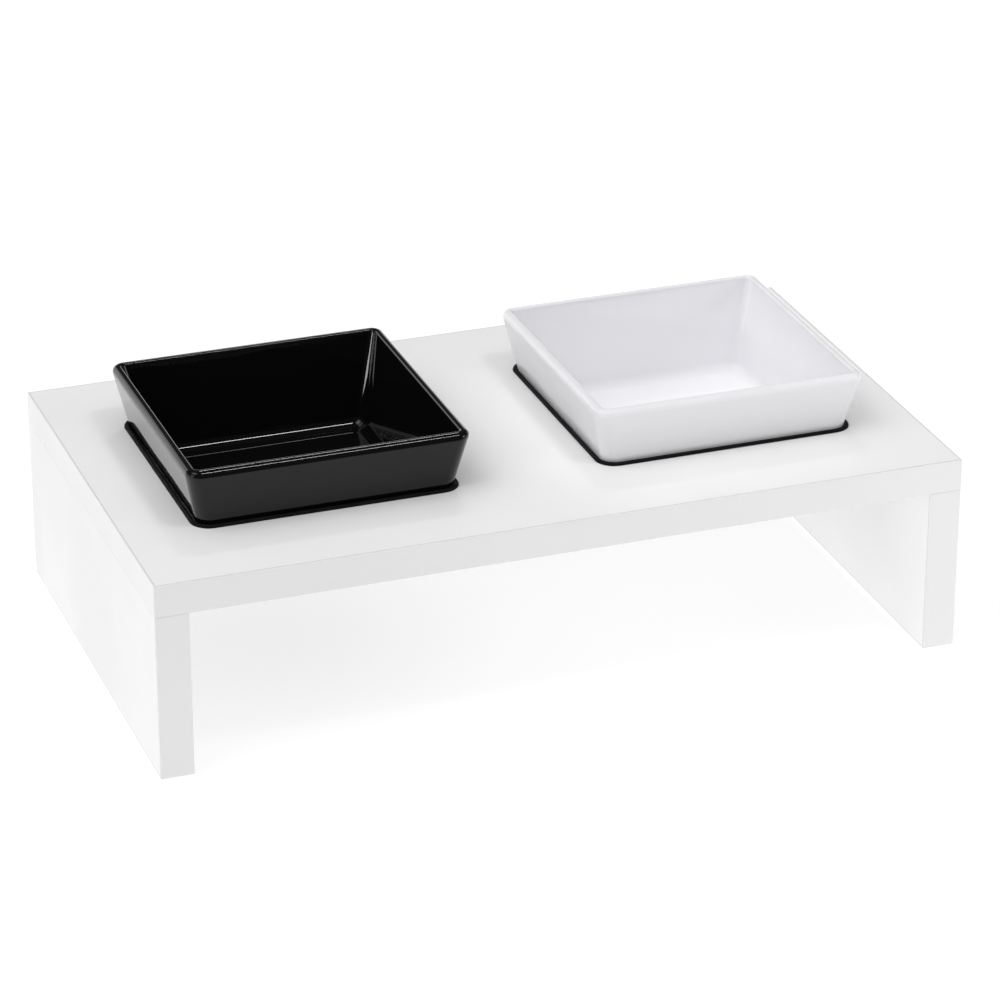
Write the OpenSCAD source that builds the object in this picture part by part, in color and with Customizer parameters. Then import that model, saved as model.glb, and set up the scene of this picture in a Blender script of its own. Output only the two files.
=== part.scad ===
// Low feeder stand: a white board on two side panels, with a black and a white glazed bowl.
// Each bowl drops through a square cut-out, wedges in a rubber seal by its taper and lifts straight out.
// The origin is on the floor under the middle of the stand; X runs to the right, Y to the back.

/* [Stand] */
// Overall width
stand_w = 400; // [380:1:480]
// Overall depth
stand_d = 230; // [200:1:280]
// Height of the top surface above the floor
stand_h = 100; // [80:1:180]
// Thickness of the top board and the side panels
board_t = 16; // [14:0.5:20]

/* [Edge bands] */
// Thickness of the bands on the cut edges of the boards
band_t = 1; // [0.6:0.1:2]
// Rounding of the outer edges of the bands
band_r = 0.3; // [0.2:0.1:0.6]

/* [Bowls] */
// Outer width across the rim
bowl_w = 138; // [120:1:150]
// Overall height of a bowl
bowl_h = 52.5; // [46:0.5:60]
// Lean of the walls from upright, in degrees
bowl_lean = 12.5; // [8:0.5:18]
// Height of the rim above the top surface
bowl_rise = 30.5; // [24:0.5:36]
// Distance from the ends of the stand to the rims of the bowls
bowl_inset = 30.5; // [24:0.5:35]
// Wall thickness, which the rim rounds over
bowl_wall = 5; // [4:0.1:6]
// Rounding of the rim's outer edge; the inner edge rounds the rest of the wall
rim_out_r = 3.2; // [2:0.1:3.4]
// Floor thickness, above the foot ring
bowl_floor = 5; // [4:0.1:7]
// Corner radius of the rim seen from above
bowl_corner_r = 7; // [7:0.5:14]
// Rounding where the walls meet the underside
base_r = 1.5; // [0.8:0.1:3]
// Fillet between the walls and the floor inside
floor_fillet = 6; // [4:0.5:8]
// Width of the foot ring under a bowl
foot_ring_w = 5; // [4:0.5:12]
// Height of the foot ring under a bowl
foot_ring_h = 1.5; // [0.8:0.1:2]

/* [Seals] */
// Height of the bead on the top surface
bead_h = 1.5; // [1.2:0.1:3]
// Reach of the bead and the lower lip over the board
seal_reach = 1.1; // [0.6:0.1:2]
// Thickness of the web that lines the cut-out
web_t = 1.2; // [0.8:0.1:1.6]
// Height of the lip under the board
lip_h = 1.5; // [1:0.1:3]

/* [Dowels] */
// Dowel diameter
dowel_d = 8; // [6:0.5:9]
// Dowel length
dowel_l = 30; // [24:1:40]
// Length of a dowel that is in the top board
dowel_in_top = 10; // [8:0.5:12]
// Distance from the front and the back to the outer dowels
dowel_inset = 35; // [25:1:60]
// Number of flutes along a dowel
flute_count = 12; // [8:1:16]
// Depth of a flute
flute_depth = 0.3; // [0.2:0.05:0.5]
// Bevel of the dowel ends
dowel_bevel = 1; // [0.5:0.1:1.5]

/* [Feet] */
// Foot pad diameter
foot_d = 12; // [8:0.5:13]
// Foot pad height
foot_h = 1.5; // [1:0.1:4]
// Rounding of the lower edge of a foot pad
foot_r = 0.5; // [0.2:0.1:0.8]
// Distance from the front and the back to a foot pad's centre
foot_inset = 25; // [15:1:60]

/* [Fits] */
// Gap between a bowl and the bead that it wedges in
seat_gap = 0.3; // [0.2:0.05:0.6]
// Gap between a seal and its cut-out
seal_gap = 0.1; // [0.05:0.05:0.3]
// Gap round a dowel in its bore
dowel_gap = 0.05; // [0.02:0.01:0.2]
// Room past each end of a dowel
dowel_end_gap = 1; // [0.5:0.1:1.5]

/* [Hidden] */
$fn = 32;
left = -1;
right = 1;
front = -1;
middle = 0;
back = 1;
past = 1;                                   // how far a cut runs past the face that it opens
board_colour = [0.93, 0.93, 0.92];

under_z = stand_h - board_t;                // underside of the top board
panel_x = (stand_w - board_t) / 2;          // middle of a side panel
panel_h = under_z - foot_h;                 // side panel with its bottom band
core_d = stand_d - 2 * band_t;              // board without its front and back bands
bowl_x = (stand_w - bowl_w) / 2 - bowl_inset; // middle of a bowl
bowl_z = stand_h + bowl_rise - bowl_h;      // underside of a bowl in its seal
dowel_y = stand_d / 2 - dowel_inset;
foot_y = stand_d / 2 - foot_inset;

rim_share = 0.7;                            // most of the wall that the outer rounding can take
rim_out = min(rim_out_r, rim_share * bowl_wall);
crest_half = bowl_w / 2 - rim_out;          // crest of the rim
rim_corner_at = bowl_w / 2 - bowl_corner_r; // middle of the rim's corner arcs
rim_cut_angles = [30, 50, 70];              // flats that round the inner side of the rim

// The inner rounding of the rim touches the inner wall and meets the outer rounding at the crest
rim_in = (bowl_wall - rim_out * (1 + sin(bowl_lean))) / (1 - sin(bowl_lean));

// Half width of the flat outer and inner bowl walls at height z above the bowl's underside
function outer_half(z) = crest_half + rim_out / cos(bowl_lean) - (bowl_h - rim_out - z) * tan(bowl_lean);
function inner_half(z) = outer_half(z) - bowl_wall / cos(bowl_lean);

// Sizes that other pieces meet are kept to a hundredth of a millimetre
function hundredth(size) = round(size * 100) / 100;

// The bead is round on top; its inner side clears the leaning bowl wall by the seat gap
bead_r = (web_t + seal_gap + seal_reach) / 2;
bead_z = stand_h + bead_h - bead_r;
seat_half = outer_half(bead_z - bowl_z);
seal_half = hundredth(seat_half + (bead_r + seat_gap) / cos(bowl_lean) - bead_r);
corner_at = hundredth(seat_half - bowl_corner_r); // middle of the corner arcs of seal and cut-out
seal_in = seal_half - corner_at;            // inner face of the seal from that middle
cutout_half = seal_half + web_t + seal_gap;
cutout_r = cutout_half - corner_at;

// Square with rounded corners, seen from above
module rounded_square(half, r) {
    square([2 * half, 2 * (half - r)], center = true);
    square([2 * (half - r), 2 * half], center = true);
    for (x = [-1, 1], y = [-1, 1])
        translate([x * (half - r), y * (half - r)])
            circle(r);
}

// Closed square ring with rounded corners; the profile's x runs outward from the corner middles
module square_ring(corner_half) {
    for (turn = [0 : 90 : 270])
        rotate(turn)
            translate([corner_half, corner_half, 0]) {
                rotate_extrude(angle = 90)
                    children();
                rotate([90, 0, 0])
                    linear_extrude(2 * corner_half)
                        children();
            }
}

// Bore for one dowel, open at both ends of the dowel by the end gap
module dowel_bore(side, row) {
    translate([side * panel_x, row * dowel_y, under_z + dowel_in_top - dowel_l - dowel_end_gap])
        cylinder(d = dowel_d + 2 * dowel_gap, h = dowel_l + 2 * dowel_end_gap);
}

// Top board without its edge bands
module top_board() {
    color(board_colour)
        difference() {
            translate([0, 0, under_z + board_t / 2])
                cube([stand_w - 2 * band_t, core_d, board_t], center = true);
            for (side = [left, right])
                translate([side * bowl_x, 0, under_z - past])
                    linear_extrude(board_t + 2 * past)
                        rounded_square(cutout_half, cutout_r);
            for (side = [left, right], row = [front, middle, back])
                dowel_bore(side, row);
        }
}

// Side panel without its edge bands
module panel(side) {
    core_h = panel_h - band_t;
    color(board_colour)
        difference() {
            translate([side * panel_x, 0, under_z - core_h / 2])
                cube([board_t, core_d, core_h], center = true);
            for (row = [front, middle, back])
                dowel_bore(side, row);
        }
}

// Edge band that lies along X with its outer face to the back
module edge_band(length) {
    color([0.96, 0.96, 0.95])
        translate([-length / 2, 0, 0])
            rotate([90, 0, 90])
                linear_extrude(length)
                    intersection() {
                        square([band_t, board_t]);
                        union() {
                            square([band_t - band_r, board_t]);
                            translate([0, band_r])
                                square([band_t, board_t - 2 * band_r]);
                            for (y = [band_r, board_t - band_r])
                                translate([band_t - band_r, y])
                                    circle(band_r);
                        }
                    }
}

// Band on the front or back of the top board, over the ends of the other two
module top_long_band(row) {
    rotate(row == front ? 180 : 0)
        translate([0, stand_d / 2 - band_t, under_z])
            edge_band(stand_w);
}

// Band on the left or right end of the top board
module top_end_band(side) {
    rotate(-90 * side)
        translate([0, stand_w / 2 - band_t, under_z])
            edge_band(core_d);
}

// Band on the front or back of a side panel, from its foot to the top board
module panel_upright_band(side, row) {
    translate([side * panel_x, 0, 0])
        rotate(row == front ? 180 : 0)
            translate([board_t / 2, stand_d / 2 - band_t, foot_h + panel_h / 2])
                rotate([0, -90, 0])
                    edge_band(panel_h);
}

// Band under a side panel, between the upright ones
module panel_bottom_band(side) {
    translate([side * panel_x + board_t / 2, 0, foot_h + band_t])
        rotate([-90, 0, 90])
            edge_band(core_d);
}

// Fluted dowel with bevelled ends
module dowel(side, row) {
    color([0.80, 0.64, 0.44])
        translate([side * panel_x, row * dowel_y, under_z + dowel_in_top - dowel_l])
            difference() {
                union() {
                    cylinder(d1 = dowel_d - 2 * dowel_bevel, d2 = dowel_d, h = dowel_bevel);
                    translate([0, 0, dowel_bevel])
                        cylinder(d = dowel_d, h = dowel_l - 2 * dowel_bevel);
                    translate([0, 0, dowel_l - dowel_bevel])
                        cylinder(d1 = dowel_d, d2 = dowel_d - 2 * dowel_bevel, h = dowel_bevel);
                }
                for (k = [1 : flute_count])
                    rotate(k * 360 / flute_count)
                        translate([dowel_d / 2, 0, -past])
                            cylinder(r = flute_depth, h = dowel_l + 2 * past);
            }
}

// Thin round pad under a side panel
module foot(side, row) {
    color([0.35, 0.35, 0.36])
        translate([side * panel_x, row * foot_y, 0])
            rotate_extrude() {
                square([foot_d / 2 - foot_r, foot_h]);
                translate([0, foot_r])
                    square([foot_d / 2, foot_h - foot_r]);
                translate([foot_d / 2 - foot_r, foot_r])
                    circle(foot_r);
            }
}

// Rubber ring that clips over the edge of a cut-out: a bead on top, a web in the cut-out, a lip below
module seal(side) {
    color([0.06, 0.06, 0.06])
        translate([side * bowl_x, 0, 0])
            square_ring(corner_at) {
                translate([seal_in, under_z - lip_h])
                    square([web_t, board_t + lip_h]);
                translate([seal_in, under_z - lip_h])
                    square([2 * bead_r, lip_h]);
                intersection() {
                    translate([seal_in, stand_h])
                        square([2 * bead_r, bead_h]);
                    union() {
                        translate([seal_in, bead_z - bead_h])
                            square([2 * bead_r, bead_h]);
                        translate([seal_in + bead_r, bead_z])
                            circle(bead_r);
                    }
                }
            }
}

// Four rings at the corners of a square, for the rounded edges of a bowl
module corner_rings(half, ring_r, edge_r) {
    for (x = [-1, 1], y = [-1, 1])
        translate([x * (half - ring_r), y * (half - ring_r), 0])
            rotate_extrude()
                translate([ring_r, 0])
                    circle(edge_r);
}

// Solid outline of a bowl, from its underside up to its rim
module bowl_outside() {
    hull() {
        translate([0, 0, base_r])
            corner_rings(outer_half(base_r) - base_r / cos(bowl_lean), bowl_corner_r - base_r, base_r);
        translate([0, 0, bowl_h - rim_out])
            corner_rings(crest_half, bowl_corner_r - rim_out, rim_out);
    }
}

// Flat plate whose corner arcs share their middles with those of the rim
module rim_plate(z, half) {
    translate([0, 0, z])
        linear_extrude(past)
            rounded_square(half, half - rim_corner_at);
}

// Room inside a bowl
module bowl_inside() {
    fillet_z = bowl_floor + foot_ring_h + floor_fillet;
    fillet_at = inner_half(fillet_z) - floor_fillet / cos(bowl_lean);
    hull() {
        for (x = [-1, 1], y = [-1, 1])
            translate([x * fillet_at, y * fillet_at, fillet_z])
                sphere(floor_fillet);
        rim_plate(bowl_h, inner_half(bowl_h));
    }
}

// Cut along the inner side of the rim, touching its inner rounding at an angle above level
module rim_cut(angle) {
    touch_half = crest_half - rim_in * cos(angle);
    touch_z = bowl_h - rim_in + rim_in * sin(angle);
    hull() {
        rim_plate(touch_z - past, touch_half - past * tan(angle));
        rim_plate(bowl_h, touch_half + (bowl_h - touch_z) * tan(angle));
    }
}

// Square tapered bowl on a low foot ring
module bowl(side) {
    ring_half = outer_half(0) - foot_ring_w;
    translate([side * bowl_x, 0, bowl_z])
        difference() {
            bowl_outside();
            bowl_inside();
            for (angle = rim_cut_angles)
                rim_cut(angle);
            translate([0, 0, -past])
                linear_extrude(foot_ring_h + past)
                    rounded_square(ring_half, bowl_corner_r);
        }
}

top_board();
top_long_band(front);  // top_front_band
top_long_band(back);  // top_back_band
top_end_band(left);  // top_left_band
top_end_band(right);  // top_right_band
panel(left);  // left_panel
panel_upright_band(left, front);  // left_front_band
panel_upright_band(left, back);  // left_back_band
panel_bottom_band(left);  // left_bottom_band
panel(right);  // right_panel
panel_upright_band(right, front);  // right_front_band
panel_upright_band(right, back);  // right_back_band
panel_bottom_band(right);  // right_bottom_band
dowel(left, front);  // left_front_dowel
dowel(left, middle);  // left_middle_dowel
dowel(left, back);  // left_back_dowel
dowel(right, front);  // right_front_dowel
dowel(right, middle);  // right_middle_dowel
dowel(right, back);  // right_back_dowel
foot(left, front);  // left_front_foot
foot(left, back);  // left_back_foot
foot(right, front);  // right_front_foot
foot(right, back);  // right_back_foot
seal(left);  // black_bowl_seal
seal(right);  // white_bowl_seal
color([0.10, 0.10, 0.10]) bowl(left);  // black_bowl
color([0.94, 0.94, 0.96]) bowl(right);  // white_bowl
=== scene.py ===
import math

import bmesh
import bpy
from mathutils import Matrix, Vector


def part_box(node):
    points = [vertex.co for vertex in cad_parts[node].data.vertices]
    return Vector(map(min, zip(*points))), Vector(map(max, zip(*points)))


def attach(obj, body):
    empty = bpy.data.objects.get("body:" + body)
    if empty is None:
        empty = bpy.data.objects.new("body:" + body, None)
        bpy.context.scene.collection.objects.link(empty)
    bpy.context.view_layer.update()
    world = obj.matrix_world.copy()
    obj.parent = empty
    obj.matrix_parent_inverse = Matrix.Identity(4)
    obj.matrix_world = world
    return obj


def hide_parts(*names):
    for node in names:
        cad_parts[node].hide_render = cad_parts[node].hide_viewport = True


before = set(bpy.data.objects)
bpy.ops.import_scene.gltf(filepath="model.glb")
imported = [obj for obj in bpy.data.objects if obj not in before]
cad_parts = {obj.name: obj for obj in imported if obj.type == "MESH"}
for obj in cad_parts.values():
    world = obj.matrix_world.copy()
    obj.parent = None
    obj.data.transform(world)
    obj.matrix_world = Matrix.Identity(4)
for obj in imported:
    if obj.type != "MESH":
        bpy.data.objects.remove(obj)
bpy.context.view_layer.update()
scene = bpy.context.scene
scene.view_settings.view_transform = "Standard"


# Camera
# A long lens that looks down on the stand from the front and a little from the left.
# Its place, turn and focal length are fitted to the corners of the boards.
CAMERA_PLACE = (-0.6324, -1.7603, 0.9431)
CAMERA_PITCH = math.radians(25.276)
CAMERA_YAW = math.radians(-19.961)
CAMERA_SENSOR = 36.0
CAMERA_LENS = 151.9

camera_data = bpy.data.cameras.new("camera")
camera_data.sensor_width = CAMERA_SENSOR
camera_data.lens = CAMERA_LENS
camera = bpy.data.objects.new("camera", camera_data)
camera.location = CAMERA_PLACE
camera.rotation_euler = (math.pi / 2 - CAMERA_PITCH, 0.0, CAMERA_YAW)
scene.collection.objects.link(camera)
scene.camera = camera


# Side panels
# Two upright boards of 16 mm particle board, faced on both broad sides with white melamine paper.
# The facing is pressed with a fine pearl texture; the sawn edges show the brown chips.
FACING_TONE = (0.835, 0.835, 0.835, 1.0)
FACING_SHADE = (0.81, 0.81, 0.81, 1.0)
CHIP_PALE = (0.56, 0.42, 0.27, 1.0)
CHIP_DARK = (0.25, 0.16, 0.09, 1.0)
FACING_DEPTH = 0.0006
FACING_GRAIN = 1500.0
FACING_RELIEF = 0.00002
FACING_ROUGHNESS = (0.36, 0.45)
CLOUD_SCALE = 13.0
CLOUD_SPAN = (0.35, 0.65)
NOISE_SPAN = (0.3, 0.7)
CHIP_SCALE = 520.0
EDGE_LEAN = (0.6, 0.95)
ACROSS_X = (1.0, 0.0, 0.0)
ACROSS_Y = (0.0, 1.0, 0.0)
ACROSS_Z = (0.0, 0.0, 1.0)


def add_node(tree, kind, sockets=None, **settings):
    """Add one shader node. Each socket takes a value, or a link from another node's socket."""
    made = tree.nodes.new(kind)
    for name, value in settings.items():
        setattr(made, name, value)
    for name, value in (sockets or {}).items():
        if isinstance(value, bpy.types.NodeSocket):
            tree.links.new(value, made.inputs[name])
        else:
            made.inputs[name].default_value = value
    return made


def mix_colour(tree, factor, first, second):
    """Blend two colours and give the blended socket."""
    made = add_node(tree, "ShaderNodeMix", {0: factor, 6: first, 7: second}, data_type="RGBA")
    return made.outputs[2]


def map_value(tree, value, from_low, from_high, to_low, to_high):
    """Map a range of values smoothly to another range and give the socket."""
    made = add_node(
        tree,
        "ShaderNodeMapRange",
        {0: value, 1: from_low, 2: from_high, 3: to_low, 4: to_high},
        interpolation_type="SMOOTHSTEP",
    )
    return made.outputs[0]


def new_group(name, inputs, outputs):
    """Start a shader group with named sockets; give its tree, its input node and its output node."""
    tree = bpy.data.node_groups.new(name, "ShaderNodeTree")
    for label, kind in inputs.items():
        tree.interface.new_socket(label, in_out="INPUT", socket_type=kind)
    for label, kind in outputs.items():
        tree.interface.new_socket(label, in_out="OUTPUT", socket_type=kind)
    return tree, tree.nodes.new("NodeGroupInput"), tree.nodes.new("NodeGroupOutput")


def new_material(name):
    """Start a material; give it with its tree and its surface shader."""
    material = bpy.data.materials.new(name)
    material.use_nodes = True
    return material, material.node_tree, material.node_tree.nodes["Principled BSDF"]


def dress(node, material):
    """Give a solid of the frame its material."""
    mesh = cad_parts[node].data
    mesh.materials.clear()
    mesh.materials.append(material)


pearl, pearl_in, pearl_out = new_group(
    "pearl_texture",
    {
        "Tone": "NodeSocketColor",
        "Shade": "NodeSocketColor",
        "Grain": "NodeSocketFloat",
        "Depth": "NodeSocketFloat",
    },
    {"Color": "NodeSocketColor", "Roughness": "NodeSocketFloat", "Normal": "NodeSocketVector"},
)
place = add_node(pearl, "ShaderNodeTexCoord").outputs["Object"]
clouds = add_node(
    pearl, "ShaderNodeTexNoise", {"Vector": place, "Scale": CLOUD_SCALE, "Detail": 3.0}
).outputs[0]
grain = add_node(
    pearl, "ShaderNodeTexNoise", {"Vector": place, "Scale": pearl_in.outputs["Grain"], "Detail": 1.5}
).outputs[0]
relief = add_node(pearl, "ShaderNodeBump", {"Distance": pearl_in.outputs["Depth"], "Height": grain})
pearl.links.new(
    mix_colour(
        pearl,
        map_value(pearl, clouds, *CLOUD_SPAN, 0.0, 1.0),
        pearl_in.outputs["Tone"],
        pearl_in.outputs["Shade"],
    ),
    pearl_out.inputs["Color"],
)
facing_gloss = map_value(pearl, clouds, *NOISE_SPAN, *FACING_ROUGHNESS)
pearl.links.new(facing_gloss, pearl_out.inputs["Roughness"])
pearl.links.new(relief.outputs["Normal"], pearl_out.inputs["Normal"])

facing_mask, facing_in, facing_out = new_group(
    "facing_mask", {"Across": "NodeSocketVector"}, {"Mask": "NodeSocketFloat"}
)
lean_out = add_node(
    facing_mask,
    "ShaderNodeVectorMath",
    {
        0: add_node(facing_mask, "ShaderNodeNewGeometry").outputs["True Normal"],
        1: facing_in.outputs["Across"],
    },
    operation="DOT_PRODUCT",
).outputs["Value"]
size_out = add_node(facing_mask, "ShaderNodeMath", {0: lean_out}, operation="ABSOLUTE").outputs[0]
facing_mask.links.new(map_value(facing_mask, size_out, *EDGE_LEAN, 0.0, 1.0), facing_out.inputs["Mask"])


def board_material(name, across, near, far):
    """White facing on the two broad sides of a board, bare chips between them on its sawn edges.

    The broad sides lie at the distances near and far from the origin, along the direction across.
    """
    material, tree, surface = new_material(name)
    facing = add_node(
        tree,
        "ShaderNodeGroup",
        {"Tone": FACING_TONE, "Shade": FACING_SHADE, "Grain": FACING_GRAIN, "Depth": FACING_RELIEF},
        node_tree=pearl,
    )
    mask = add_node(tree, "ShaderNodeGroup", {"Across": across}, node_tree=facing_mask).outputs["Mask"]
    place = add_node(tree, "ShaderNodeTexCoord").outputs["Object"]
    along = add_node(tree, "ShaderNodeVectorMath", {0: place, 1: across}, operation="DOT_PRODUCT")
    distance = add_node(tree, "ShaderNodeMath", {0: along.outputs["Value"]}, operation="ABSOLUTE")
    core_depth = add_node(
        tree,
        "ShaderNodeMath",
        {0: distance.outputs[0], 1: (near + far) / 2, 2: (far - near) / 2 - FACING_DEPTH},
        operation="COMPARE",
    ).outputs[0]
    bare = add_node(
        tree, "ShaderNodeMath", {0: core_depth, 1: mask}, operation="SUBTRACT", use_clamp=True
    )
    chips = add_node(tree, "ShaderNodeTexVoronoi", {"Vector": place, "Scale": CHIP_SCALE})
    chip_tint = add_node(tree, "ShaderNodeSeparateColor", {0: chips.outputs["Color"]}).outputs[0]
    core = mix_colour(tree, chip_tint, CHIP_PALE, CHIP_DARK)
    colour = mix_colour(tree, bare.outputs[0], facing.outputs["Color"], core)
    tree.links.new(colour, surface.inputs["Base Color"])
    tree.links.new(facing.outputs["Roughness"], surface.inputs["Roughness"])
    tree.links.new(facing.outputs["Normal"], surface.inputs["Normal"])
    return material


panel_low, panel_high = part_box("right_panel")
panel_facing = board_material("panel_facing", ACROSS_X, panel_low.x, panel_high.x)
for side in ("left", "right"):
    dress(f"{side}_panel", panel_facing)


# Edge bands of the panels
# Thin white plastic strips, hot-glued over the sawn front, back and bottom edges of each panel.
# Their edges are rounded, and painted shade darkens the rounded edges that do not face down.
BAND_TONE = (0.815, 0.815, 0.815, 1.0)
BAND_SHADE = (0.8, 0.8, 0.8, 1.0)
# Painted shade for the rounded edges of the bands.
ARRIS_PAINTED_SHADE = (0.66, 0.66, 0.66, 1.0)
BAND_GRAIN = 2200.0
BAND_RELIEF = 0.00001
UNDERSIDE_LEAN = (-0.4, -0.1)


def band_material(name, across):
    """Satin band with painted shade on its rounded edges, except where they face down."""
    material, tree, surface = new_material(name)
    satin = add_node(
        tree,
        "ShaderNodeGroup",
        {"Tone": BAND_TONE, "Shade": BAND_SHADE, "Grain": BAND_GRAIN, "Depth": BAND_RELIEF},
        node_tree=pearl,
    )
    mask = add_node(tree, "ShaderNodeGroup", {"Across": across}, node_tree=facing_mask).outputs["Mask"]
    normal = add_node(tree, "ShaderNodeNewGeometry").outputs["True Normal"]
    rise = add_node(tree, "ShaderNodeSeparateXYZ", {0: normal}).outputs["Z"]
    underneath = map_value(tree, rise, *UNDERSIDE_LEAN, 1.0, 0.0)
    # Painted shade goes on the rounded edges; the broad faces and the edges that face down keep the
    # band's own tone.
    smooth = add_node(tree, "ShaderNodeMath", {0: mask, 1: underneath}, operation="MAXIMUM").outputs[0]
    colour = mix_colour(tree, smooth, ARRIS_PAINTED_SHADE, satin.outputs["Color"])
    tree.links.new(colour, surface.inputs["Base Color"])
    tree.links.new(satin.outputs["Roughness"], surface.inputs["Roughness"])
    tree.links.new(satin.outputs["Normal"], surface.inputs["Normal"])
    return material


front_band = band_material("front_band", ACROSS_Y)
bottom_band = band_material("bottom_band", ACROSS_Z)
for side in ("left", "right"):
    dress(f"{side}_front_band", front_band)
    dress(f"{side}_back_band", front_band)
    dress(f"{side}_bottom_band", bottom_band)


# Foot pads
# Four round pads of soft dark grey rubber, stuck under the corners of the panels.
# Their moulded skin is matt, with a faint dusty bloom.
PAD_BODY = (0.035, 0.035, 0.036, 1.0)
PAD_BLOOM = (0.075, 0.075, 0.075, 1.0)
PAD_SHINE = 0.35
DUST_SCALE = 90.0
DUST_SPAN = (0.45, 0.75)
PORE_SCALE = 2600.0
PORE_RELIEF = 0.00002
RUBBER_ROUGHNESS = (0.5, 0.66)

rubber, rubber_in, rubber_out = new_group(
    "rubber_skin",
    {"Body": "NodeSocketColor", "Bloom": "NodeSocketColor"},
    {"Color": "NodeSocketColor", "Roughness": "NodeSocketFloat", "Normal": "NodeSocketVector"},
)
place = add_node(rubber, "ShaderNodeTexCoord").outputs["Object"]
dust = add_node(
    rubber, "ShaderNodeTexNoise", {"Vector": place, "Scale": DUST_SCALE, "Detail": 5.0}
).outputs[0]
pores = add_node(
    rubber, "ShaderNodeTexNoise", {"Vector": place, "Scale": PORE_SCALE, "Detail": 2.0}
).outputs[0]
skin = add_node(rubber, "ShaderNodeBump", {"Distance": PORE_RELIEF, "Height": pores})
rubber.links.new(
    mix_colour(
        rubber,
        map_value(rubber, dust, *DUST_SPAN, 0.0, 1.0),
        rubber_in.outputs["Body"],
        rubber_in.outputs["Bloom"],
    ),
    rubber_out.inputs["Color"],
)
skin_gloss = map_value(rubber, dust, *NOISE_SPAN, *RUBBER_ROUGHNESS)
rubber.links.new(skin_gloss, rubber_out.inputs["Roughness"])
rubber.links.new(skin.outputs["Normal"], rubber_out.inputs["Normal"])


def rubber_material(name, body, bloom, shine):
    """Matt moulded rubber."""
    material, tree, surface = new_material(name)
    skin_look = add_node(tree, "ShaderNodeGroup", {"Body": body, "Bloom": bloom}, node_tree=rubber)
    for socket, output in (("Base Color", "Color"), ("Roughness", "Roughness"), ("Normal", "Normal")):
        tree.links.new(skin_look.outputs[output], surface.inputs[socket])
    surface.inputs["Specular IOR Level"].default_value = shine
    return material


pad_rubber = rubber_material("pad_rubber", PAD_BODY, PAD_BLOOM, PAD_SHINE)
for side in ("left", "right"):
    for row in ("front", "back"):
        dress(f"{side}_{row}_foot", pad_rubber)


# Dowels
# Fluted beech pegs, 8 mm thick, glued with one third in the top board and the rest in a panel.
# Their grain runs lengthwise, with short dark flecks in the pale pink-brown wood.
BEECH_PALE = (0.62, 0.44, 0.28, 1.0)
BEECH_DARK = (0.44, 0.28, 0.16, 1.0)
FIBRE_STRETCH = (1.0, 1.0, 0.06)
FIBRE_SCALE = 1600.0
FIBRE_SPAN = (0.35, 0.7)
FIBRE_RELIEF = 0.00004
BEECH_ROUGHNESS = (0.55, 0.75)

beech, tree, surface = new_material("beech")
place = add_node(tree, "ShaderNodeTexCoord").outputs["Object"]
along = add_node(tree, "ShaderNodeMapping", {"Vector": place, "Scale": FIBRE_STRETCH}).outputs[0]
fibres = add_node(
    tree, "ShaderNodeTexNoise", {"Vector": along, "Scale": FIBRE_SCALE, "Detail": 4.0}
).outputs[0]
fibre_relief = add_node(tree, "ShaderNodeBump", {"Distance": FIBRE_RELIEF, "Height": fibres})
tree.links.new(
    mix_colour(tree, map_value(tree, fibres, *FIBRE_SPAN, 0.0, 1.0), BEECH_PALE, BEECH_DARK),
    surface.inputs["Base Color"],
)
tree.links.new(map_value(tree, fibres, *NOISE_SPAN, *BEECH_ROUGHNESS), surface.inputs["Roughness"])
tree.links.new(fibre_relief.outputs["Normal"], surface.inputs["Normal"])
for side in ("left", "right"):
    for row in ("front", "middle", "back"):
        dress(f"{side}_{row}_dowel", beech)


# Top board
# One white-faced board that lies on both panels, held by the dowels.
# Two square openings with round corners are sawn in it, one for each bowl.
board_low, board_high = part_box("top_board")
dress("top_board", board_material("top_facing", ACROSS_Z, board_low.z, board_high.z))


# Edge bands of the top board
# The same white strips, hot-glued over the four sawn sides of the board and rounded, with the same
# painted shade on the rounded edges.
# The long front and back ones cover the ends of the two short ones.
end_band = band_material("end_band", ACROSS_X)
dress("top_front_band", front_band)
dress("top_back_band", front_band)
dress("top_left_band", end_band)
dress("top_right_band", end_band)


# Seals
# Moulded rings of black rubber, pressed over the sawn edge of each opening.
# A round bead lies on the top surface and a thin lip grips the board from below.
# Painted shade: the rubber's black is darker than rubber is, standing in for the shade where each bowl
# meets its seal.
SEAL_BLACK_AND_SHADE = (0.004, 0.004, 0.004, 1.0)
SEAL_BLOOM = (0.009, 0.009, 0.009, 1.0)
SEAL_SHINE = 0.12
BEAD_WIDTH = 0.0024
WEB = 0.0012
SEAL_INNER_CORNER = 0.00734
NEARLY_FULL = 0.998
BEAD_ROUND = BEAD_WIDTH / 2 * NEARLY_FULL
LIP_ROUND = 0.0003
CORNER_STEPS = 10
HAIR = 0.0001


def square_loop(bm, half, corner, height):
    """Level square of edges with round corners, round the middle of the mesh."""
    before = set(bm.edges)
    level = Matrix.Translation((0.0, 0.0, height)) @ Matrix.Rotation(math.pi / 4, 4, "Z")
    square = bmesh.ops.create_circle(
        bm, segments=4, radius=half * math.sqrt(2), matrix=level, cap_ends=True
    )
    bmesh.ops.bevel(
        bm,
        geom=square["verts"],
        offset=corner,
        segments=CORNER_STEPS,
        profile=0.5,
        affect="VERTICES",
        material=-1,
    )
    loop = [edge for edge in bm.edges if edge not in before]
    caps = {face for edge in loop for face in edge.link_faces}
    bmesh.ops.delete(bm, geom=list(caps), context="FACES_ONLY")
    return loop


def bridge(bm, one, other):
    """Wall between two loops. One is lifted by a hair meanwhile, because loops in one plane twist."""
    lifted = list({vert for edge in one for vert in edge.verts})
    bmesh.ops.translate(bm, verts=lifted, vec=(0.0, 0.0, HAIR))
    bmesh.ops.bridge_loops(bm, edges=one + other)
    bmesh.ops.translate(bm, verts=lifted, vec=(0.0, 0.0, -HAIR))


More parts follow.
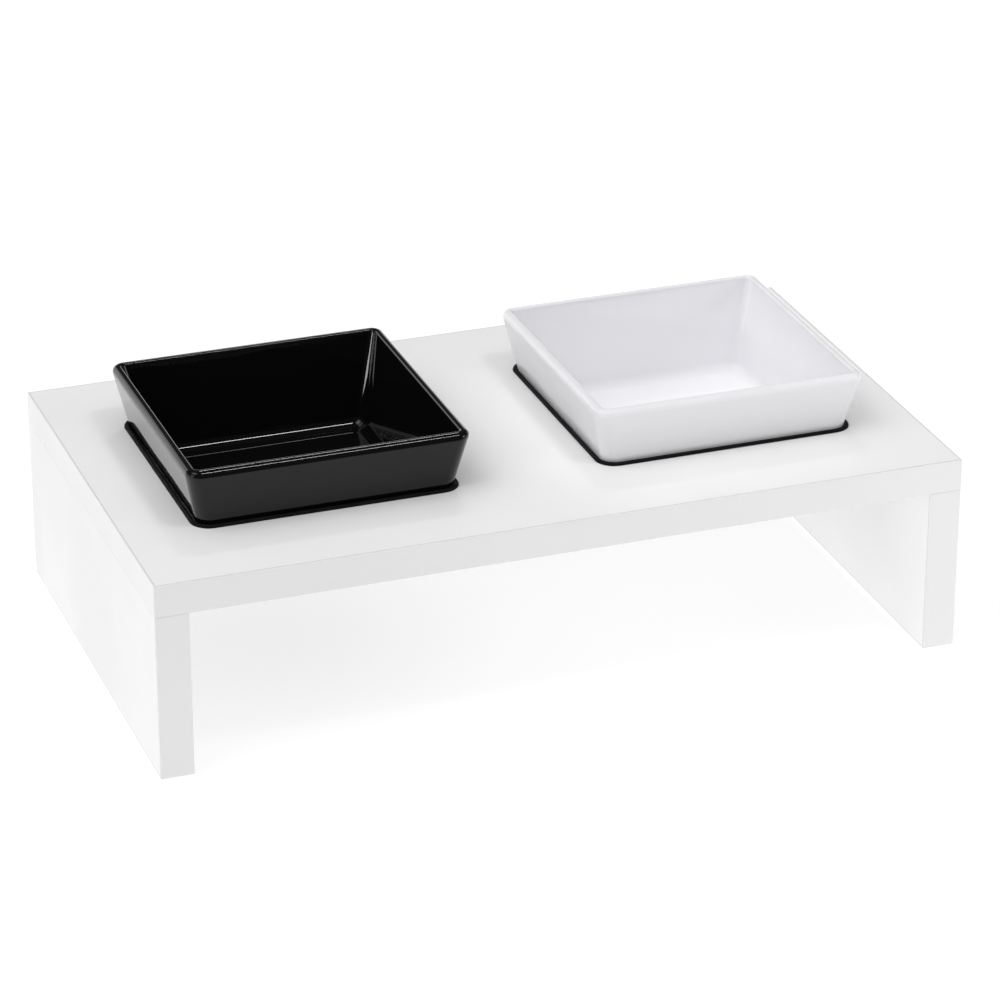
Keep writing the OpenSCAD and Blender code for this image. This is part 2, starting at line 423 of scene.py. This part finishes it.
def loft(bm, sections, closed):
    """Walls between square loops, one after another; give the loops."""
    loops = [square_loop(bm, *section) for section in sections]
    for one, other in zip(loops, loops[1:]):
        bridge(bm, one, other)
    if closed:
        bridge(bm, loops[-1], loops[0])
    else:
        for end in (loops[0], loops[-1]):
            bmesh.ops.edgeloop_fill(bm, edges=end)
    return loops


def round_over(bm, loop, offset, steps):
    """Round one loop of edges."""
    bmesh.ops.bevel(
        bm, geom=loop, offset=offset, segments=steps, profile=0.5, affect="EDGES", material=-1
    )


def finish_piece(bm, name, place, material, body, node):
    """Move a mesh to its place and make it the piece that stands for a solid of the frame."""
    bmesh.ops.remove_doubles(bm, verts=bm.verts[:], dist=HAIR / 4)
    bmesh.ops.recalc_face_normals(bm, faces=bm.faces[:])
    bmesh.ops.translate(bm, verts=bm.verts[:], vec=place)
    for face in bm.faces:
        face.smooth = True
    mesh = bpy.data.meshes.new(name)
    bm.to_mesh(mesh)
    bm.free()
    mesh.materials.append(material)
    piece = bpy.data.objects.new(name, mesh)
    scene.collection.objects.link(piece)
    even = piece.modifiers.new("even_shading", "WEIGHTED_NORMAL")
    even.mode = "FACE_AREA"
    even.weight = 100
    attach(piece, body)
    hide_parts(node)


seal_rubber = rubber_material("seal_rubber", SEAL_BLACK_AND_SHADE, SEAL_BLOOM, SEAL_SHINE)
for colour in ("black", "white"):
    low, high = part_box(f"{colour}_bowl_seal")
    outer = (high.x - low.x) / 2
    inner = outer - BEAD_WIDTH
    bead_corner = SEAL_INNER_CORNER + BEAD_WIDTH
    web_corner = SEAL_INNER_CORNER + WEB
    bm = bmesh.new()
    loops = loft(
        bm,
        [
            (inner, SEAL_INNER_CORNER, low.z),
            (inner, SEAL_INNER_CORNER, high.z),
            (outer, bead_corner, high.z),
            (outer, bead_corner, board_high.z),
            (inner + WEB, web_corner, board_high.z),
            (inner + WEB, web_corner, board_low.z),
            (outer, bead_corner, board_low.z),
            (outer, bead_corner, low.z),
        ],
        closed=True,
    )
    for top_loop in loops[1:3]:
        round_over(bm, top_loop, BEAD_ROUND, steps=6)
    for lip_loop in (loops[0], loops[6], loops[7]):
        round_over(bm, lip_loop, LIP_ROUND, steps=2)
    finish_piece(
        bm,
        f"{colour}_bowl_gasket",
        ((low.x + high.x) / 2, (low.y + high.y) / 2, 0.0),
        seal_rubber,
        "stand",
        f"{colour}_bowl_seal",
    )


# Black bowl
# Square slip-cast stoneware with leaning walls and a rounded rim, dipped in black gloss glaze.
# It hangs by its taper in the bead of the left seal; only its foot ring is wiped bare of glaze.
WALL = 0.005
RIM_OUT = 0.0032
RIM_IN = 0.00141
LEAN = math.radians(12.5)
OUTER_CORNER = 0.007
INNER_RIM_CORNER = 0.00267
FLOOR_CORNER = 0.006
FLOOR_THICKNESS = 0.005
FLOOR_FILLET = 0.006
BASE_ROUND = 0.0015
FOOT_RING_WIDTH = 0.005
FOOT_RING_HEIGHT = 0.0015
FOOT_RING_ROUND = 0.0004
BLACK_POOLED = (0.003, 0.003, 0.0031, 1.0)
BLACK_THIN = (0.0045, 0.0042, 0.004, 1.0)
BLACK_GLAZE_IOR = 1.36
BLACK_COAT = 1.0
COAT_IOR = 1.15
STONEWARE = (0.52, 0.46, 0.38, 1.0)
GLAZE_EDGE = (0.0002, 0.0006)
GLAZE_RUN = 0.003
RUN_SCALE = 60.0
WAVE_SCALE = 26.0
PEEL_SCALE = 420.0
SPECK_SCALE = 1800.0
THIN_BELOW_RIM = (0.001, 0.0045)
GLAZE_ROUGHNESS = (0.02, 0.045)
CLAY_ROUGHNESS = 0.65
WAVE_RELIEF = 0.0003
PEEL_RELIEF = 0.000004
CLAY_RELIEF = 0.00006

glaze, glaze_in, glaze_out = new_group(
    "glaze_coat",
    {
        "Pooled": "NodeSocketColor",
        "Thin": "NodeSocketColor",
        "Clay": "NodeSocketColor",
        "Foot Height": "NodeSocketFloat",
        "Rim Height": "NodeSocketFloat",
    },
    {"Color": "NodeSocketColor", "Roughness": "NodeSocketFloat", "Normal": "NodeSocketVector"},
)
place = add_node(glaze, "ShaderNodeTexCoord").outputs["Object"]
height = add_node(glaze, "ShaderNodeSeparateXYZ", {0: place}).outputs["Z"]
above_foot = add_node(
    glaze, "ShaderNodeMath", {0: height, 1: glaze_in.outputs["Foot Height"]}, operation="SUBTRACT"
).outputs[0]
below_rim = add_node(
    glaze, "ShaderNodeMath", {0: glaze_in.outputs["Rim Height"], 1: height}, operation="SUBTRACT"
).outputs[0]
runs = add_node(
    glaze, "ShaderNodeTexNoise", {"Vector": place, "Scale": RUN_SCALE, "Detail": 3.0}
).outputs[0]
waves = add_node(
    glaze, "ShaderNodeTexNoise", {"Vector": place, "Scale": WAVE_SCALE, "Detail": 1.0}
).outputs[0]
peel = add_node(
    glaze, "ShaderNodeTexNoise", {"Vector": place, "Scale": PEEL_SCALE, "Detail": 1.0}
).outputs[0]
clay_speck = add_node(
    glaze, "ShaderNodeTexNoise", {"Vector": place, "Scale": SPECK_SCALE, "Detail": 3.0}
).outputs[0]
bare = map_value(glaze, above_foot, *GLAZE_EDGE, 1.0, 0.0)
run_below_rim = add_node(
    glaze, "ShaderNodeMath", {0: runs, 1: GLAZE_RUN, 2: below_rim}, operation="MULTIPLY_ADD"
).outputs[0]
# Own tone near the rim: thin glaze, and on the white bowl painted shade as well.
thin = map_value(glaze, run_below_rim, *THIN_BELOW_RIM, 1.0, 0.0)
coat = mix_colour(glaze, thin, glaze_in.outputs["Pooled"], glaze_in.outputs["Thin"])
glaze.links.new(mix_colour(glaze, bare, coat, glaze_in.outputs["Clay"]), glaze_out.inputs["Color"])
gloss = map_value(glaze, runs, *NOISE_SPAN, *GLAZE_ROUGHNESS)
roughness = add_node(
    glaze, "ShaderNodeMath", {0: bare, 1: CLAY_ROUGHNESS, 2: gloss}, operation="MULTIPLY_ADD"
).outputs[0]
glaze.links.new(roughness, glaze_out.inputs["Roughness"])
wave_relief = add_node(glaze, "ShaderNodeBump", {"Distance": WAVE_RELIEF, "Height": waves}).outputs[0]
peel_relief = add_node(
    glaze, "ShaderNodeBump", {"Distance": PEEL_RELIEF, "Height": peel, "Normal": wave_relief}
).outputs[0]
clay_relief = add_node(
    glaze,
    "ShaderNodeBump",
    {"Strength": bare, "Distance": CLAY_RELIEF, "Height": clay_speck, "Normal": peel_relief},
).outputs[0]
glaze.links.new(clay_relief, glaze_out.inputs["Normal"])


def glaze_material(name, node, pooled, thin_tone, ior, coat_share):
    """Gloss glaze over stoneware, thinner on the rim, where the white bowl also gets painted shade, and
    wiped off the foot ring.

    A share of clear coat adds shine where the glaze is seen at a slant.
    """
    material, tree, surface = new_material(name)
    low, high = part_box(node)
    coat_look = add_node(
        tree,
        "ShaderNodeGroup",
        {
            "Pooled": pooled,
            "Thin": thin_tone,
            "Clay": STONEWARE,
            "Foot Height": low.z,
            "Rim Height": high.z,
        },
        node_tree=glaze,
    )
    for socket, output in (("Base Color", "Color"), ("Roughness", "Roughness"), ("Normal", "Normal")):
        tree.links.new(coat_look.outputs[output], surface.inputs[socket])
    surface.inputs["IOR"].default_value = ior
    surface.inputs["Coat Weight"].default_value = coat_share
    surface.inputs["Coat IOR"].default_value = COAT_IOR
    return material


def glazed_bowl(name, node, material):
    """Model one bowl in the place of its solid."""
    low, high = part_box(node)
    bowl_height = high.z - low.z
    crest = (high.x - low.x) / 2 - RIM_OUT
    level_wall = WALL / math.cos(LEAN)

    def outer_half(z):
        return crest + RIM_OUT / math.cos(LEAN) - (bowl_height - RIM_OUT - z) * math.tan(LEAN)

    floor_z = FOOT_RING_HEIGHT + FLOOR_THICKNESS
    ring_half = outer_half(0.0) - FOOT_RING_WIDTH
    bm = bmesh.new()
    loops = loft(
        bm,
        [
            (ring_half, OUTER_CORNER, FOOT_RING_HEIGHT),
            (ring_half, OUTER_CORNER, 0.0),
            (outer_half(0.0), OUTER_CORNER, 0.0),
            (outer_half(bowl_height), OUTER_CORNER, bowl_height),
            (outer_half(bowl_height) - level_wall, INNER_RIM_CORNER, bowl_height),
            (outer_half(floor_z) - level_wall, FLOOR_CORNER, floor_z),
        ],
        closed=False,
    )
    # How far along its faces a rounding reaches, for each unit of its radius
    sharp_reach = 1 / math.tan(math.radians(45) - LEAN / 2)
    blunt_reach = 1 / math.tan(math.radians(45) + LEAN / 2)
    round_over(bm, loops[0], FOOT_RING_ROUND, steps=3)
    round_over(bm, loops[1], FOOT_RING_ROUND, steps=3)
    round_over(bm, loops[2], BASE_ROUND * blunt_reach, steps=5)
    round_over(bm, loops[3], RIM_OUT * NEARLY_FULL * sharp_reach, steps=12)
    round_over(bm, loops[4], RIM_IN * NEARLY_FULL * blunt_reach, steps=8)
    round_over(bm, loops[5], FLOOR_FILLET * blunt_reach, steps=10)
    middle = ((low.x + high.x) / 2, (low.y + high.y) / 2, low.z)
    finish_piece(bm, name, middle, material, node, node)


black_glaze = glaze_material(
    "black_glaze", "black_bowl", BLACK_POOLED, BLACK_THIN, BLACK_GLAZE_IOR, BLACK_COAT
)
glazed_bowl("black_glazed_bowl", "black_bowl", black_glaze)


# White bowl
# The same casting in a white gloss glaze that is faintly cool in tone.
# It hangs in the bead of the right seal.
WHITE_POOLED = (0.85, 0.85, 0.875, 1.0)
# The rim tone is thin glaze and painted shade: darker than the walls, so that it dims the brightly lit
# rim.
WHITE_RIM_THIN_AND_SHADED = (0.77, 0.77, 0.79, 1.0)
WHITE_GLAZE_IOR = 1.46
WHITE_COAT = 0.0

white_glaze = glaze_material(
    "white_glaze", "white_bowl", WHITE_POOLED, WHITE_RIM_THIN_AND_SHADED, WHITE_GLAZE_IOR, WHITE_COAT
)
glazed_bowl("white_glazed_bowl", "white_bowl", white_glaze)


# Floor
# A plain white sweep, lit through from below and brighter on the right, which takes a pale shadow.
# The glaze mirrors it as far as a little in front of the stand, where the dim room begins.
# Seen from below it is clear, so that the underside can be looked at.
FLOOR_HALF = 6.0
FLOOR_SIDES = (-0.5, 0.5)
DIM_FROM = (-0.45, -0.15)
FLOOR_LIGHT = 1.26
FLOOR_LEFT_LIGHT = 1.1
FLOOR_RIGHT_LIGHT = 1.38
DIM_ROOM = 0.06
FLOOR_GLOW = 1.12
FLOOR_TONE = (0.9, 0.9, 0.9, 1.0)
SHADOW_SHARE = 0.35


def mix_value(tree, factor, first, second):
    """Blend two values and give the blended socket."""
    made = add_node(tree, "ShaderNodeMix", {0: factor, 2: first, 3: second}, data_type="FLOAT")
    return made.outputs[0]


bm = bmesh.new()
bmesh.ops.create_grid(bm, x_segments=1, y_segments=1, size=FLOOR_HALF)
floor_mesh = bpy.data.meshes.new("floor")
bm.to_mesh(floor_mesh)
bm.free()
floor = bpy.data.objects.new("floor", floor_mesh)
scene.collection.objects.link(floor)
floor_white, tree, surface = new_material("floor_white")
tree.nodes.remove(surface)
ray = add_node(tree, "ShaderNodeLightPath")
place = add_node(tree, "ShaderNodeTexCoord").outputs["Object"]
spot = add_node(tree, "ShaderNodeSeparateXYZ", {0: place})
graded = map_value(tree, spot.outputs["X"], *FLOOR_SIDES, FLOOR_LEFT_LIGHT, FLOOR_RIGHT_LIGHT)
mirrored = map_value(tree, spot.outputs["Y"], *DIM_FROM, DIM_ROOM, FLOOR_LIGHT)
bounced = add_node(
    tree,
    "ShaderNodeEmission",
    {"Strength": mix_value(tree, ray.outputs["Is Glossy Ray"], graded, mirrored)},
)
glowing = add_node(tree, "ShaderNodeEmission", {"Strength": FLOOR_GLOW})
shadowed = add_node(tree, "ShaderNodeBsdfDiffuse", {"Color": FLOOR_TONE})
seen = add_node(
    tree, "ShaderNodeMixShader", {0: SHADOW_SHARE, 1: glowing.outputs[0], 2: shadowed.outputs[0]}
)
clear = add_node(tree, "ShaderNodeBsdfTransparent")
sweep = add_node(
    tree,
    "ShaderNodeMixShader",
    {0: ray.outputs["Is Camera Ray"], 1: bounced.outputs[0], 2: seen.outputs[0]},
)
facing_up = add_node(
    tree,
    "ShaderNodeMixShader",
    {
        0: add_node(tree, "ShaderNodeNewGeometry").outputs["Backfacing"],
        1: sweep.outputs[0],
        2: clear.outputs[0],
    },
)
tree.links.new(facing_up.outputs[0], tree.nodes["Material Output"].inputs["Surface"])
floor_mesh.materials.append(floor_white)


# Studio
# A white tent, brightest overhead and a little to the left; the camera sees it as plain white.
# The glaze mirrors the white sweep, which rises behind the stand, and a dim room in front and above.
ROOF_LIGHT = 1.22
ROOF_SLANT = (-0.3, -0.1, 0.95)
ROOF_SPREAD = (0.3, 0.95)
SWEEP_GLOW = 1.25
SWEEP_SLANT = (0.0, -0.25, 1.0)
SWEEP_EDGE = (-0.12, 0.12)
TENT_TONE = (1.0, 1.0, 1.0, 1.0)
PLAIN_WHITE = 1.0

world = bpy.data.worlds.new("studio")
scene.world = world
world.use_nodes = True
tree = world.node_tree
backdrop = tree.nodes["Background"]
backdrop.inputs["Color"].default_value = TENT_TONE
ray = add_node(tree, "ShaderNodeLightPath")
aim = add_node(tree, "ShaderNodeTexCoord").outputs["Generated"]
above_sweep = add_node(
    tree, "ShaderNodeVectorMath", {0: aim, 1: SWEEP_SLANT}, operation="DOT_PRODUCT"
).outputs["Value"]
mirrored = map_value(tree, above_sweep, *SWEEP_EDGE, SWEEP_GLOW, DIM_ROOM)
overhead = add_node(
    tree, "ShaderNodeVectorMath", {0: aim, 1: ROOF_SLANT}, operation="DOT_PRODUCT"
).outputs["Value"]
tent = map_value(tree, overhead, *ROOF_SPREAD, 0.0, ROOF_LIGHT)
unseen = mix_value(tree, ray.outputs["Is Glossy Ray"], tent, mirrored)
strength = mix_value(tree, ray.outputs["Is Camera Ray"], unseen, PLAIN_WHITE)
tree.links.new(strength, backdrop.inputs["Strength"])


# Lamps
# Soft boxes: one high on the left, a slim one low on the left and a small one on the right.
# Three small ones, in front and behind, draw bright lines along the rim of the black bowl.
LAMP_AIM = Vector((0.0, 0.0, 0.08))


def soft_box(name, place, size, power):
    """One square or oblong lamp that looks at the stand."""
    data = bpy.data.lights.new(name, "AREA")
    data.shape = "RECTANGLE"
    data.size, data.size_y = size
    data.energy = power
    lamp = bpy.data.objects.new(name, data)
    lamp.location = place
    lamp.rotation_euler = (Vector(place) - LAMP_AIM).to_track_quat("Z", "Y").to_euler()
    scene.collection.objects.link(lamp)


soft_box("low_left_box", place=(-1.85, -0.75, 0.5), size=(0.8, 0.125), power=3.6)
soft_box("high_left_box", place=(-1.1, -0.3, 1.95), size=(1.2, 1.2), power=10.5)
soft_box("right_box", place=(0.75, -0.55, 0.35), size=(0.3, 0.3), power=1.3)
soft_box("front_strip", place=(0.47, -0.86, 2.04), size=(0.36, 0.1), power=5.0)
soft_box("back_strip", place=(0.5, 1.23, 1.82), size=(0.36, 0.1), power=3.4)
soft_box("back_left_box", place=(-0.53, 1.08, 0.5), size=(0.36, 0.4), power=0.45)
